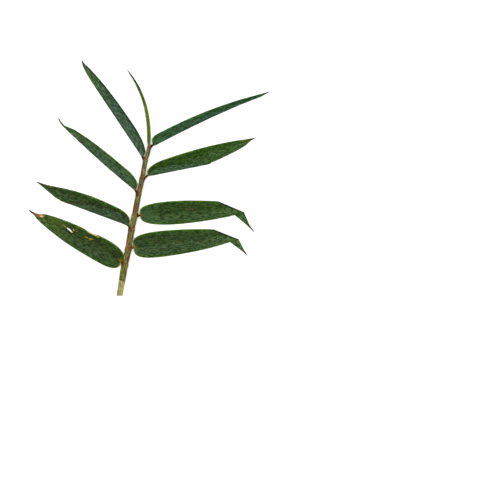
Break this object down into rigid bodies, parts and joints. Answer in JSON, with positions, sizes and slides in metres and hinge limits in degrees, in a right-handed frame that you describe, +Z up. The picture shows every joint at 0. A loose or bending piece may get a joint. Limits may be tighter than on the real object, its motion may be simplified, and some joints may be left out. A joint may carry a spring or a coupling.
{
  "type": "pressed bamboo stem",
  "caption": "Flat pressed stem of dwarf bamboo: a thin culm in leaf sheaths with broad pointed leaves to both sides, some folded, and a rolled young leaf at its end.",
  "frame": {"origin": "on the surface the stem lies on, under the middle of its outline", "axes": "+Y along the stem from its cut end to the rolled leaf, +Z up from the surface, +X to the right seen from above"},
  "size_m": [0.112, 0.114, 0.0028],
  "materials": {
    "culm": "matte",
    "leaf": "matte",
    "rolled_leaf": "matte"
  },
  "bodies": {
    "root": {"culm": "culm", "leaf_left_1": "leaf", "leaf_left_2": "leaf", "leaf_left_3": "leaf", "leaf_left_4": "leaf", "leaf_right_1": "leaf", "leaf_right_2": "leaf", "leaf_right_3": "leaf", "leaf_right_4": "leaf", "rolled_leaf": "rolled_leaf"}
  },
  "joints": []
}
